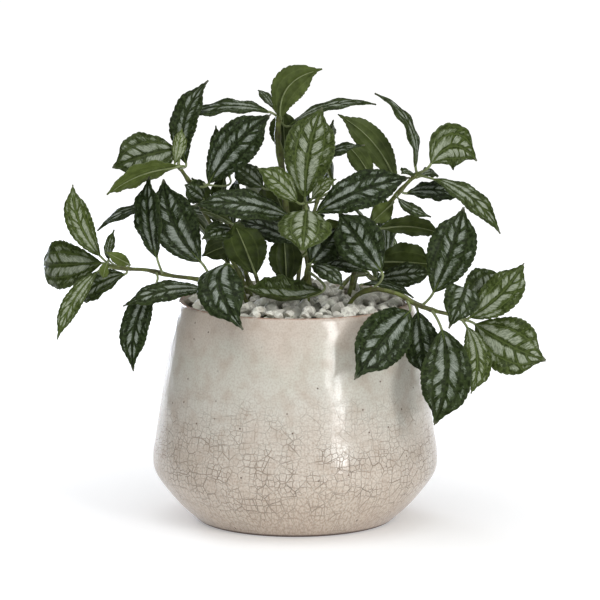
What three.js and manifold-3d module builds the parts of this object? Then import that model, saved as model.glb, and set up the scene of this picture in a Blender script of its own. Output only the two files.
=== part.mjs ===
// A house plant with silver-marked leaves in a round glazed pot, topped with white gravel.
// Millimetres, +Z up. The origin is the centre of the pot's foot; the best side looks along -Y.
import * as THREE from "three";
import { mergeVertices } from "three/addons/utils/BufferGeometryUtils.js";
import Module from "manifold-3d";

const wasm = await Module();
wasm.setup();

// ---------------------------------------------------------------- driving dimensions
const POT_HEIGHT = 157;
const FOOT_RADIUS = 70;
const SHOULDER_RADIUS = 101.4; // the widest ring of the pot
const RIM_RADIUS = 81; // at the crest of the lip
const MOUTH_HEIGHT = 150; // where the pot is narrowest inside
const FLOOR = 8; // thickness of the pot's bottom
const POT_SIDES = 32;
const FIT_GAP = 0.35; // between pieces that touch
const WALL_GAP = 0.5; // and from the pot's wall, whose flats lie nearer the axis than its corners

const SOIL_TOP = 138;
const GRAVEL_EDGE = 151; // height of the gravel bed at the pot's wall
const GRAVEL_CROWN = 159; // and at the middle
const PEBBLE_SIZE = 23; // larger than the real 10 to 18 mm, so that fewer of them cover the bed
const PEBBLE_FLATNESS = 0.66;
const PEBBLE_RISE = 0.12; // how high its middle lies over the bed, as a share of its size
const PEBBLE_RINGS = [[0, 1], [20, 6], [42, 13], [66, 22]]; // radius, count
const SEED = 7;

const STEM_RADIUS = 1.7; // unless the shoot gives its own
const STEM_SIDES = 5;
const STEM_CLEARANCE = 1.1; // from a stem to its hole in the soil and gravel
const STALK_RADIUS = 0.95;
const STALK_ROWS = 2;
const STALK_SWEEP = 0.4; // how far back the blade's own line runs on into its stalk
const GROWN_THICKNESS = 0.9; // of a blade
const NEW_THICKNESS = 0.7;
const BLADE_ROWS = 5; // stations along a blade, out to a tooth and in from it by turns
const TOOTH_OUT = 1.04;
const TOOTH_IN = 0.94;
const LEAN = 0.3; // how far a blade leans back for each millimetre that it rises
const BACK_TURN = 14; // degrees, how far a leaf at the back is turned at random

// Where the plant is looked at from. Foliage points are given as seen from there: x and z are
// read in the upright plane through the pot's axis, and y says how far in front (-) or behind
// (+) of that plane the point lies on its line of sight.
const VIEW_DISTANCE = 3000;
const VIEW_HEIGHT = 659;
const VIEW_X = 3.4;
const TO_VIEWER = new THREE.Vector3(0, -VIEW_DISTANCE, VIEW_HEIGHT - POT_HEIGHT).normalize();
const UP = new THREE.Vector3(0, 0, 1);

// ---------------------------------------------------------------- the plant
// Each shoot has the points of its stem, root first, a thick one its radius, and its leaves:
// [where on the stem 0-1, blade base, blade tip, width, turn, bow, sway, cup, age].
// turn is in degrees round the blade, 0 with its upper face to the viewer and 180 with its
// underside. bow and sway bend it out of and in its plane, as shares of its length. cup
// lifts its edges, as a share of the half width. age runs from 0, grown, to 1, newly opened.
const SHOOTS = {
  shoot_left_low: {
    stem: [[-30, -12, 112], [-36, -18, 150], [-50, -26, 164], [-68, -28, 171],
      [-88, -28, 174], [-105, -26, 178], [-120, -25, 179], [-133, -25, 181]],
    leaves: [
      [0.96, [-138, -27, 188], [-157, -32, 239], 19, 5, 0.08, -0.1, 0.1, 0.75],
      [1.0, [-137, -22, 183], [-178, 20, 181], 35, 0, 0.22, 0, -0.1, 0.5],
      [0.93, [-140, -31, 177], [-169, -38, 128], 14, 12, 0.08, 0.05, 0.1, 0.7],
      [0.86, [-121, -18, 175], [-154, 2, 155], 24, 45, 0.1, 0, 0, 0.25],
      [0.9, [-132, -29, 186], [-128, -38, 207], 9, 40, 0.1, -0.15, 0, 0.3],
      [0.86, [-117, -27, 182], [-134, -42, 191], 9, 180, -0.1, 0, 0, 1.0],
      [1.0, [-133, -36, 184], [-136, -50, 172], 8, 150, 0.1, 0, 0, 1.0],
      [0.62, [-98, -39, 187], [-103, -46, 245], 25, -38, 0.08, 0, 0.1, 0.0],
      [0.36, [-67, -32, 184], [-93, -39, 243], 34, 8, 0.06, -0.1, 0.1, 0.0],
      [0.42, [-65, -42, 164], [-122, -50, 152], 18, 35, 0.13, 0, 0, 0.1],
      [0.66, [-99, -38, 168], [-115, -44, 105], 21, 15, 0.08, 0.08, 0.1, 0.0]]
  },
  shoot_left_rim: {
    stem: [[-28, -26, 112], [-33, -34, 150], [-40, -42, 168], [-46, -46, 181]],
    leaves: [
      [1.0, [-47, -50, 182], [-37, -84, 135], 33, 0, 0.22, 0.15, -0.1, 0.0]]
  },
  shoot_upper_left: {
    stem: [[-20, 6, 112], [-32, 8, 158], [-50, 6, 195], [-66, 0, 222], [-73, -4, 238],
      [-80, -8, 249], [-83, -10, 253]],
    leaves: [
      [0.9, [-77, -2, 254], [-61, 6, 313], 22, -25, 0.05, -0.13, 0.1, 0.1],
      [0.98, [-84, -4, 264], [-129, -16, 251], 37, 20, 0.1, 0, 0, 0.4],
      [0.9, [-83, -30, 252], [-133, -52, 232], 25, 122, 0.1, 0, 0, 0.8],
      [0.96, [-85, -10, 254], [-80, -6, 279], 11, 20, 0.05, 0, 0.2, 1.0],
      [0.6, [-62, 10, 222], [-73, 18, 244], 18, 150, 0, 0, 0, 0.0],
      [0.68, [-65, -8, 229], [-78, -18, 239], 19, 22, 0.1, 0, 0, 0.1],
      [0.7, [-61, -14, 240], [-17, -24, 289], 31, 0, 0.06, -0.06, 0.1, 0.0],
      [0.72, [-46, 4, 244], [-56, 0, 281], 14, 15, 0.05, -0.06, 0, 0.3],
      [0.62, [-90, 8, 222], [-140, -2, 206], 17, 62, 0.14, 0, 0, 0.1]]
  },
  shoot_top: {
    radius: 2.6,
    stem: [[-2, 14, 112], [-3, 14, 160], [-6, 10, 215], [-9, 6, 248], [-12, 3, 268],
      [-12, 1, 282], [-11, 0, 288]],
    leaves: [
      [1.0, [-10, -1, 286], [19, -10, 321], 24, 180, -0.05, 0.2, 0, 0.7],
      [0.96, [-19, 4, 291], [-83, 32, 284], 27, 66, 0.1, 0, 0, 0.15],
      [0.94, [-4, 6, 281], [57, 12, 296], 17, -62, 0.12, 0, 0, 0.2],
      [0.6, [-7, 15, 262], [-9, 19, 293], 21, 180, 0, 0, 0, 0.2],
      [1.0, [-15, 4, 293], [-26, 14, 306], 8, 30, 0.1, 0, 0, 0.3],
      [0.74, [4, 4, 250], [49, -14, 267], 17, -60, 0.08, 0, 0, 0.1],
      [0.46, [-23, 8, 237], [-43, 16, 252], 19, 25, 0.08, 0, 0, 0.2]]
  },
  shoot_centre: {
    stem: [[6, -4, 112], [9, -8, 160], [10, -12, 188], [9, -18, 208], [7, -22, 222], [7, -24, 227]],
    leaves: [
      [1.0, [7, -27, 230], [19, -24, 294], 36, 0, 0.05, -0.05, 0.1, 0.6],
      [0.97, [1, -33, 227], [-27, -46, 251], 21, 30, 0.1, 0, 0.1, 0.75],
      [0.97, [12, -34, 229], [29, -48, 243], 13, -40, 0.1, 0, 0.1, 0.85],
      [0.9, [8, -34, 221], [5, -66, 190], 38, 0, 0.12, 0, -0.1, 0.65],
      [0.8, [-4, -30, 216], [-72, -38, 224], 26, 35, 0.13, 0, 0, 0.05],
      [0.85, [15, -28, 219], [81, -28, 244], 29, -22, 0.06, -0.03, 0, 0.0],
      [0.72, [2, -20, 197], [-40, -14, 213], 20, 30, 0.1, 0, 0, 0.0]]
  },
  shoot_upper_right: {
    stem: [[26, 4, 112], [38, 5, 160], [46, 4, 190], [58, 2, 214], [70, -2, 230],
      [80, -5, 241], [86, -6, 247]],
    leaves: [
      [1.0, [85, -5, 252], [56, 4, 304], 25, 70, 0.17, 0, 0, 0.2],
      [1.0, [96, -16, 254], [128, 2, 256], 34, 0, 0.02, -0.3, -0.2, 0.6],
      [0.98, [98, -14, 243], [145, -26, 204], 20, -40, 0.15, 0, 0, 0.4],
      [0.74, [79, 2, 233], [117, 6, 230], 24, -54, 0.1, 0, 0, 0.0],
      [0.96, [83, -13, 247], [75, -22, 247], 12, 60, 0.1, 0, 0, 0.2],
      [0.94, [88, 3, 245], [101, 10, 245], 14, -60, 0.2, 0, 0, 0.2],
      [0.7, [73, -12, 229], [96, -18, 216], 10, -35, 0.1, 0.16, 0, 0.2],
      [0.6, [69, -6, 226], [54, -12, 212], 14, 180, 0.05, 0, 0, 1.0],
      [0.24, [51, -7, 177], [13, -18, 182], 20, 42, 0.12, 0.05, 0, 0.1]]
  },
  shoot_right_back: {
    stem: [[30, 26, 112], [40, 32, 160], [50, 34, 200], [58, 30, 228], [63, 26, 243]],
    leaves: [
      [1.0, [71, 24, 240], [30, 20, 289], 20, 180, 0, -0.09, 0, 0.5],
      [0.98, [54, 13, 242], [35, 10, 269], 15, 180, 0, -0.05, 0, 0.5],
      [0.72, [60, 26, 208], [104, 20, 204], 20, -135, 0.12, 0, 0, 0.4],
      [0.55, [56, 24, 184], [100, 18, 182], 30, -155, 0.06, 0, 0, 0.3],
      [0.45, [58, 14, 171], [98, 8, 176], 20, -30, 0.05, 0, 0, 0.1]]
  },
  shoot_right_low: {
    stem: [[28, -20, 112], [40, -30, 156], [54, -40, 164], [72, -47, 161], [85, -52, 154],
      [98, -54, 149], [110, -53, 146], [121, -52, 142]],
    leaves: [
      [0.28, [61, -46, 177], [31, -42, 219], 34, 0, 0.08, 0, 0, 0.0],
      [0.62, [98, -56, 162], [119, -62, 223], 34, 0, 0.06, 0.03, 0.1, 0.05],
      [0.5, [81, -60, 148], [42, -93, 99], 36, 0, 0.12, 0.03, 0.1, 0.0],
      [0.56, [87, -50, 148], [94, -52, 100], 26, 10, 0.06, 0, 0, 0.0],
      [0.7, [104, -68, 135], [99, -76, 66], 36, 0, 0.08, -0.08, 0.1, 0.1],
      [0.95, [122, -58, 137], [125, -70, 89], 22, -20, 0.06, -0.1, 0, 0.7],
      [1.0, [128, -48, 139], [178, -46, 113], 41, 0, 0.1, 0.04, 0, 0.6],
      [1.0, [124, -54, 144], [162, -60, 183], 27, -10, 0.08, 0.08, 0, 0.6],
      [0.97, [119, -46, 152], [147, -22, 174], 31, -10, 0.12, 0, 0, 0.3],
      [0.9, [120, -60, 164], [109, -86, 136], 26, 0, 0.3, 0, 0, 0.1],
      [0.24, [48, -24, 168], [84, -28, 158], 16, -70, 0.1, 0, 0, 0.1]]
  },
  shoot_low_centre: {
    stem: [[2, -26, 112], [5, -30, 158], [8, -34, 174], [9, -35, 182]],
    leaves: [
      [0.8, [19, -44, 163], [-36, -52, 166], 32, 62, -0.14, 0, 0.6, 0.4],
      [0.7, [-6, -12, 168], [-8, 6, 205], 24, 180, 0, 0, 0, 0.1],
      [1.0, [12, -42, 181], [34, -56, 166], 16, -40, 0.12, 0, 0, 0.1],
      [1.0, [11, -28, 183], [30, -20, 208], 27, 0, 0.05, 0, 0, 0.0]]
  },
  shoot_low_left: {
    stem: [[-16, -12, 112], [-24, -16, 160], [-32, -18, 186], [-39, -20, 203]],
    leaves: [
      [0.62, [-28, -26, 175], [-43, -34, 212], 31, 165, 0.05, 0, 0, 0.1],
      [1.0, [-43, -24, 205], [-66, -46, 200], 18, 40, 0.15, 0, 0, 0.1],
      [1.0, [-44, -14, 211], [-68, -6, 221], 11, 130, 0.1, 0, 0, 0.6],
      [0.8, [-43, -10, 197], [-66, -4, 188], 18, 160, 0.1, 0, 0, 0.2]]
  }
};

// Towards the back the plant carries shoots like those in front, swung round the pot's axis,
// drawn in or out, lowered, and with their leaves turned and widened a little at random.
const BACK_SHOOTS = {
  shoot_back_left_low: {
    like: "shoot_left_low", swung: -75, reach: 0.85, lowered: 5, without: [2, 4, 6, 9]
  },
  shoot_back_right_low: {
    like: "shoot_right_low", swung: 78, reach: 0.85, lowered: 2, without: [0, 2, 3, 4, 9, 10]
  },
  shoot_back_upper_left: {
    like: "shoot_upper_left", swung: -95, reach: 1, lowered: 33, without: [4, 5]
  },
  shoot_back_upper_right: {
    like: "shoot_upper_right", swung: 83, reach: 1, lowered: 30, without: [0, 4, 7, 8]
  },
  shoot_back_middle: {
    like: "shoot_low_left", swung: -62, reach: 1.3, lowered: 0, without: [2, 3]
  },
  shoot_back_centre: {
    like: "shoot_centre", swung: 170, reach: 1.2, lowered: 50, without: [3, 4, 5, 6]
  }
};

// ---------------------------------------------------------------- solids
function solidFrom(geometry) {
  const bare = new THREE.BufferGeometry().setAttribute("position", geometry.getAttribute("position"));
  if (geometry.index) bare.setIndex(geometry.index);
  const merged = mergeVertices(bare, 1e-3);
  return new wasm.Manifold(new wasm.Mesh({
    numProp: 3,
    vertProperties: new Float32Array(merged.attributes.position.array),
    triVerts: new Uint32Array(merged.index.array),
  }));
}

function geometryFrom(solid) {
  const mesh = solid.getMesh();
  const points = new Float32Array(mesh.numVert * 3);
  for (let i = 0; i < mesh.numVert; i++) {
    points.set(mesh.vertProperties.subarray(i * mesh.numProp, i * mesh.numProp + 3), i * 3);
  }
  const geometry = new THREE.BufferGeometry();
  geometry.setAttribute("position", new THREE.BufferAttribute(points, 3));
  geometry.setIndex(new THREE.BufferAttribute(new Uint32Array(mesh.triVerts), 1));
  geometry.computeVertexNormals();
  return geometry;
}

function joined(solids) {
  return wasm.Manifold.union(solids);
}

// What is left when loose scraps are dropped.
function largestPiece(solid) {
  return solid.decompose().sort((a, b) => b.volume() - a.volume())[0];
}

function tube(curve, radius, sides, steps) {
  const ring = [];
  for (let i = 0; i < sides; i++) {
    const angle = (i / sides) * Math.PI * 2;
    ring.push(new THREE.Vector2(Math.cos(angle) * radius, Math.sin(angle) * radius));
  }
  return solidFrom(new THREE.ExtrudeGeometry(new THREE.Shape(ring),
    { extrudePath: curve, steps, bevelEnabled: false }));
}

function turned(profile, sides) {
  const lathe = new THREE.LatheGeometry(profile.map(([r, z]) => new THREE.Vector2(r, z)), sides);
  lathe.rotateX(Math.PI / 2);
  return solidFrom(lathe);
}

// A repeatable source of numbers from 0 to 1.
function drawer(seed) {
  let state = seed;
  return () => {
    state = (state * 16807) % 2147483647;
    return state / 2147483647;
  };
}

// ---------------------------------------------------------------- pot, soil and gravel
const POT_OUTSIDE = [
  [0, 0], [FOOT_RADIUS - 1.5, 0], [FOOT_RADIUS + 0.8, 1.4], [86.3, 16], [97.6, 30.5], [100, 35],
  [SHOULDER_RADIUS, 42], [101.1, 49], [99.2, 61], [96.1, 82], [89.2, 126], [85.6, 145],
  [84, 151], [83, 155], [RIM_RADIUS, POT_HEIGHT]];
const POT_INSIDE = [
  [79, 156.6], [77.4, 154], [77.2, MOUTH_HEIGHT], [86, 104], [94.4, 44], [66, FLOOR], [0, FLOOR]];

// The radius of the pot's inside at a height on its upper wall.
function insideRadius(z) {
  const low = POT_INSIDE.findIndex(([, height]) => height <= z);
  const [r0, z0] = POT_INSIDE[low];
  const [r1, z1] = POT_INSIDE[low - 1];
  return r0 + ((r1 - r0) * (z - z0)) / (z1 - z0);
}

function pot() {
  return turned([...POT_OUTSIDE, ...POT_INSIDE], POT_SIDES);
}

function soil() {
  const wall = POT_INSIDE.filter(([, z]) => z < SOIL_TOP).reverse();
  const inside = wall.map(([r, z]) => [Math.max(0, r - WALL_GAP), z === FLOOR ? z + FIT_GAP : z]);
  return turned([...inside, [insideRadius(SOIL_TOP) - WALL_GAP, SOIL_TOP], [0, SOIL_TOP]], POT_SIDES);
}

function gravelHeight(r) {
  const share = Math.min(1, r / insideRadius(GRAVEL_EDGE));
  return GRAVEL_CROWN + (GRAVEL_EDGE - GRAVEL_CROWN) * share * share;
}

// The bed with its stones. A stone keeps off the stems, which come up between them.
function gravel(shoots) {
  const bottom = SOIL_TOP + FIT_GAP;
  const edge = (z) => insideRadius(z) - WALL_GAP;
  const bed = turned([[0, bottom], [edge(bottom), bottom], [edge(GRAVEL_EDGE), GRAVEL_EDGE],
    [46, gravelHeight(46)], [0, GRAVEL_CROWN]], POT_SIDES / 2);
  const rooted = shoots.map(({ stem }) => stem.getPoints(40).find(({ z }) => z > GRAVEL_CROWN));
  const draw = drawer(SEED);
  const pebbles = [];
  for (const [radius, count] of PEBBLE_RINGS) {
    for (let i = 0; i < count; i++) {
      const angle = ((i + 0.35 * draw()) / count) * Math.PI * 2 + radius;
      const size = PEBBLE_SIZE * (0.8 + 0.4 * draw());
      const out = Math.min(radius, insideRadius(GRAVEL_EDGE) - size * 0.5 - 0.5);
      const centre = new THREE.Vector3(Math.cos(angle) * out, Math.sin(angle) * out,
        gravelHeight(out) + size * PEBBLE_RISE);
      const stone = new THREE.OctahedronGeometry(size / 2, 0);
      stone.scale(1, 0.8 + 0.2 * draw(), PEBBLE_FLATNESS);
      stone.rotateX((draw() - 0.5) * 0.9);
      stone.rotateZ(draw() * Math.PI * 2);
      stone.translate(centre.x, centre.y, centre.z);
      const crowded = rooted.some(({ x, y }) => Math.hypot(x - centre.x, y - centre.y) < size / 2);
      if (!crowded) pebbles.push(solidFrom(stone));
    }
  }
  const mouth = edge(MOUTH_HEIGHT);
  const top = POT_HEIGHT + PEBBLE_SIZE;
  const inPot = turned([[0, bottom], [edge(bottom), bottom], [mouth, MOUTH_HEIGHT], [mouth, top], [0, top]],
    POT_SIDES);
  return joined([bed, ...pebbles]).intersect(inPot);
}

// ---------------------------------------------------------------- leaves and stems
function placed([x, y, z]) {
  const share = (VIEW_DISTANCE + y) / VIEW_DISTANCE;
  return new THREE.Vector3(VIEW_X + (x - VIEW_X) * share, y, VIEW_HEIGHT + (z - VIEW_HEIGHT) * share);
}

// How wide the blade is at v, from 0 at its base to 1 at its tip, as a share of its full width.
function outline(v) {
  const oval = Math.sin(Math.PI * Math.pow(v, 1.04)) ** 0.75;
  const drawnOut = THREE.MathUtils.smoothstep(v, 0.74, 0.95);
  return Math.max(oval * (1 - 0.5 * drawnOut), 0.045);
}

class Leaf {
  constructor({ base, tip, facing, width, turn, bow, sway, cup, age }) {
    this.base = base;
    this.length = base.distanceTo(tip);
    this.axis = tip.clone().sub(base).normalize();
    this.facing = facing.clone().addScaledVector(this.axis, -facing.dot(this.axis)).normalize();
    this.facing.applyAxisAngle(this.axis, THREE.MathUtils.degToRad(turn));
    this.side = this.axis.clone().cross(this.facing);
    this.thickness = THREE.MathUtils.lerp(GROWN_THICKNESS, NEW_THICKNESS, age);
    Object.assign(this, { halfWidth: width / 2, bow, sway, cup });
  }

  midrib(v) {
    const arch = 4 * v * (1 - v);
    return this.base.clone()
      .addScaledVector(this.axis, this.length * v)
      .addScaledVector(this.facing, this.length * this.bow * arch)
      .addScaledVector(this.side, this.length * this.sway * arch);
  }

  frame(v) {
    const slope = 4 * (1 - 2 * v);
    const along = this.axis.clone()
      .addScaledVector(this.facing, this.bow * slope)
      .addScaledVector(this.side, this.sway * slope)
      .normalize();
    const normal = this.facing.clone().addScaledVector(along, -this.facing.dot(along)).normalize();
    return { along, normal, across: along.clone().cross(normal) };
  }

  // The stalk's path, from a point on the stem into the line of the blade.
  stalk(root) {
    const reach = root.distanceTo(this.base);
    const elbow = this.base.clone().addScaledVector(this.frame(0).along, -STALK_SWEEP * reach);
    return new THREE.QuadraticBezierCurve3(root, elbow, this.base);
  }

  // One cross-section of three points over three, each given by its place across and its lift.
  section(centre, across, normal, half, lifts, cup) {
    return [1, -1].map((face) => [-1, 0, 1].map((u) => centre.clone()
      .addScaledVector(across, u * half)
      .addScaledVector(normal, cup * half * u * u + face * lifts[Math.abs(u)])));
  }

  // The leaf with its stalk as one closed thin body, its edge cut in shallow teeth. Both faces
  // are split into triangles alike.
  solid(root) {
    const stalk = this.stalk(root);
    const sections = [];
    for (let row = 0; row < STALK_ROWS; row++) {
      const t = row / STALK_ROWS;
      const along = stalk.getTangent(t);
      const normal = this.frame(0).normal;
      normal.addScaledVector(along, -normal.dot(along)).normalize();
      sections.push(this.section(stalk.getPoint(t), along.clone().cross(normal), normal,
        STALK_RADIUS, [STALK_RADIUS, STALK_RADIUS / 2], 0));
    }
    for (let row = 0; row <= BLADE_ROWS; row++) {
      const v = row / BLADE_ROWS;
      const { across, normal } = this.frame(v);
      const tooth = row % 2 ? TOOTH_OUT : TOOTH_IN;
      const lift = this.thickness / 2;
      sections.push(this.section(this.midrib(v), across, normal,
        this.halfWidth * outline(v) * tooth, [row ? lift : STALK_RADIUS, lift], this.cup));
    }
    const index = [];
    const at = (row, face, column) => row * 6 + face * 3 + column;
    const quad = (a, b, c, d) => index.push(a, b, c, a, c, d);
    const last = sections.length - 1;
    for (let row = 0; row < last; row++) {
      for (const column of [0, 1]) {
        quad(at(row, 0, column), at(row, 0, column + 1),
          at(row + 1, 0, column + 1), at(row + 1, 0, column));
        index.push(at(row, 1, column), at(row + 1, 1, column + 1), at(row, 1, column + 1));
        index.push(at(row, 1, column), at(row + 1, 1, column), at(row + 1, 1, column + 1));
      }
      quad(at(row, 0, 0), at(row + 1, 0, 0), at(row + 1, 1, 0), at(row, 1, 0));
      quad(at(row, 1, 2), at(row + 1, 1, 2), at(row + 1, 0, 2), at(row, 0, 2));
    }
    for (const column of [0, 1]) {
      quad(at(0, 1, column), at(0, 1, column + 1), at(0, 0, column + 1), at(0, 0, column));
      quad(at(last, 0, column), at(last, 0, column + 1), at(last, 1, column + 1), at(last, 1, column));
    }
    return solidFrom(new THREE.BufferGeometry().setFromPoints(sections.flat(2)).setIndex(index));
  }
}

// A shoot as points in space, each leaf with the direction that its upper face looks in.
function frontShoot({ radius = STEM_RADIUS, stem, leaves }) {
  return {
    radius,
    stem: stem.map(placed),
    leaves: leaves.map(([at, base, tip, width, turn, bow, sway, cup, age]) => {
      const lean = LEAN * (tip[2] - base[2]) * Math.cos(THREE.MathUtils.degToRad(turn));
      const leant = placed([tip[0], tip[1] + lean, tip[2]]);
      return { at, base: placed(base), tip: leant, facing: TO_VIEWER, width, turn, bow, sway, cup, age };
    }),
  };
}

// The same shoot swung round the axis to the back of the pot.
function backShoot({ like, swung, reach, lowered, without }, draw) {
  const angle = THREE.MathUtils.degToRad(swung);
  const swing = (point) => point.clone().multiply(new THREE.Vector3(reach, reach, 1))
    .applyAxisAngle(UP, angle).addScaledVector(UP, -lowered);
  const { radius, stem, leaves } = frontShoot(SHOOTS[like]);
  return {
    radius,
    stem: stem.map(swing),
    leaves: leaves.filter((_, i) => !without.includes(i)).map((leaf) => ({
      ...leaf,
      base: swing(leaf.base),
      tip: swing(leaf.tip),
      facing: leaf.facing.clone().applyAxisAngle(UP, angle),
      width: leaf.width * (0.9 + 0.2 * draw()),
      turn: leaf.turn + BACK_TURN * (2 * draw() - 1),
    })),
  };
}

// A stem as a round bar, thicker by a clearance where it makes its hole.
function stemBar({ stem, radius }, clearance = 0) {
  return tube(stem, radius + clearance, STEM_SIDES, stem.points.length + 3);
}

function leafyStem(name, { stem: points, radius, leaves }) {
  const stem = new THREE.CatmullRomCurve3(points, false, "centripetal");
  const shoot = { name, stem, radius };
  const grown = leaves.map((leaf) => new Leaf(leaf).solid(stem.getPoint(leaf.at)));
  return { ...shoot, solid: joined([stemBar(shoot), ...grown]) };
}

// ---------------------------------------------------------------- the whole object
const GLAZE = { color: 0xd8d0c0, roughness: 0.25, metalness: 0 };
const EARTH = { color: 0x3a2c22, roughness: 0.95, metalness: 0 };
const STONE = { color: 0xd6d4cc, roughness: 0.7, metalness: 0 };
const FOLIAGE = { color: 0x3d4f38, roughness: 0.5, metalness: 0 };

const plant = new THREE.Group();

function add(name, solid, finish) {
  const mesh = new THREE.Mesh(geometryFrom(solid), new THREE.MeshStandardMaterial(finish));
  mesh.name = name;
  plant.add(mesh);
}

const backDraw = drawer(SEED + 1);
const shoots = [
  ...Object.entries(SHOOTS).map(([name, shoot]) => leafyStem(name, frontShoot(shoot))),
  ...Object.entries(BACK_SHOOTS).map(([name, plan]) => leafyStem(name, backShoot(plan, backDraw))),
];
const holes = joined(shoots.map((shoot) => stemBar(shoot, STEM_CLEARANCE)));

add("pot", pot(), GLAZE);
add("soil", soil().subtract(holes), EARTH);
add("gravel", largestPiece(gravel(shoots).subtract(holes)), STONE);
for (const { name, solid } of shoots) add(name, solid, FOLIAGE);

export default plant;
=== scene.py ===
import math

import bmesh
import bpy
from mathutils import Matrix, Quaternion, Vector, noise


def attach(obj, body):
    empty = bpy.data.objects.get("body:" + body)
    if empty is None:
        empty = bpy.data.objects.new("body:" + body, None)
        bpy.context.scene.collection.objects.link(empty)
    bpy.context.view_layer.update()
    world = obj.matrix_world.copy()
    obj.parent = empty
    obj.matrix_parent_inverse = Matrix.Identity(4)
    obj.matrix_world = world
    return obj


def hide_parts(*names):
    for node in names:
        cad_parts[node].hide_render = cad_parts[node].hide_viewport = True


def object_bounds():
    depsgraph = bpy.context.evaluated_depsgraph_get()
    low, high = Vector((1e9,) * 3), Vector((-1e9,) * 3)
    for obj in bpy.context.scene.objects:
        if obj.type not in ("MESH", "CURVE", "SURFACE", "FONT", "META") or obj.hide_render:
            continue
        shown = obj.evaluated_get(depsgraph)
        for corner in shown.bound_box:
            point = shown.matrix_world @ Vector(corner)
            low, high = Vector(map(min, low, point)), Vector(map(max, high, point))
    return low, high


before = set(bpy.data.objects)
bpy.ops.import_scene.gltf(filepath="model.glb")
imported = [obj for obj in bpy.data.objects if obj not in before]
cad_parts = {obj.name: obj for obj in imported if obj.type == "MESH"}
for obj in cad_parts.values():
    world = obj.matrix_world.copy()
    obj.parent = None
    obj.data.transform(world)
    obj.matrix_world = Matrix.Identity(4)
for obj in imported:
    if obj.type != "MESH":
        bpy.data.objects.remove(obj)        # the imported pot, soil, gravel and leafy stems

CAD_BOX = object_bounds()

# A house plant with silver-marked leaves in a round crackle-glazed pot, topped with marble chips.
# Sizes are in millimetres, except where a comment says metres, and are turned to metres as each
# mesh is made. The origin is the centre of the pot's foot, +Z is up and the best side looks
# along -Y.
MM = 0.001
SEED = 7
SMOOTH = {"interpolation_type": "SMOOTHSTEP"}  # for a MapRange that eases in and out

# ---------------- driving dimensions
POT_HEIGHT = 157
RIM_RADIUS = 81
SHOULDER_RADIUS = 101.4
POT_STEPS = 160  # round the pot
SOIL_TOP = 138

STEM_RADIUS = 1.7
STEM_TAPER = 0.25  # how much thinner its tip is, as a share
NODE_SWELLING = 0.5  # how much thicker it is where leaves leave it
STALK_RADIUS = 0.95
STALK_SWEEP = 0.4  # how far a stalk's bend lies behind the blade, as a share of its length
GROWN_THICKNESS = 0.9
NEW_THICKNESS = 0.7
LEAN = 0.3  # how far a raised leaf tip leans back, as a share of its rise
BACK_TURN = 14  # the most degrees by which a leaf at the back is turned

# Foliage points are given as seen by the viewer: x and z are read in the upright plane through
# the pot's axis, and y says how far in front (-) or behind (+) of that plane the point lies.
VIEW_DISTANCE = 3000
VIEW_HEIGHT = 659
VIEW_X = 3.4
AIM_HEIGHT = 156.5  # the height on the pot's axis that the picture is centred on
IMAGE_SIDE = 600
FOCAL_PIXELS = 4290
SENSOR = 36
TO_VIEWER = Vector((0, -VIEW_DISTANCE, VIEW_HEIGHT - POT_HEIGHT)).normalized()

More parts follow.
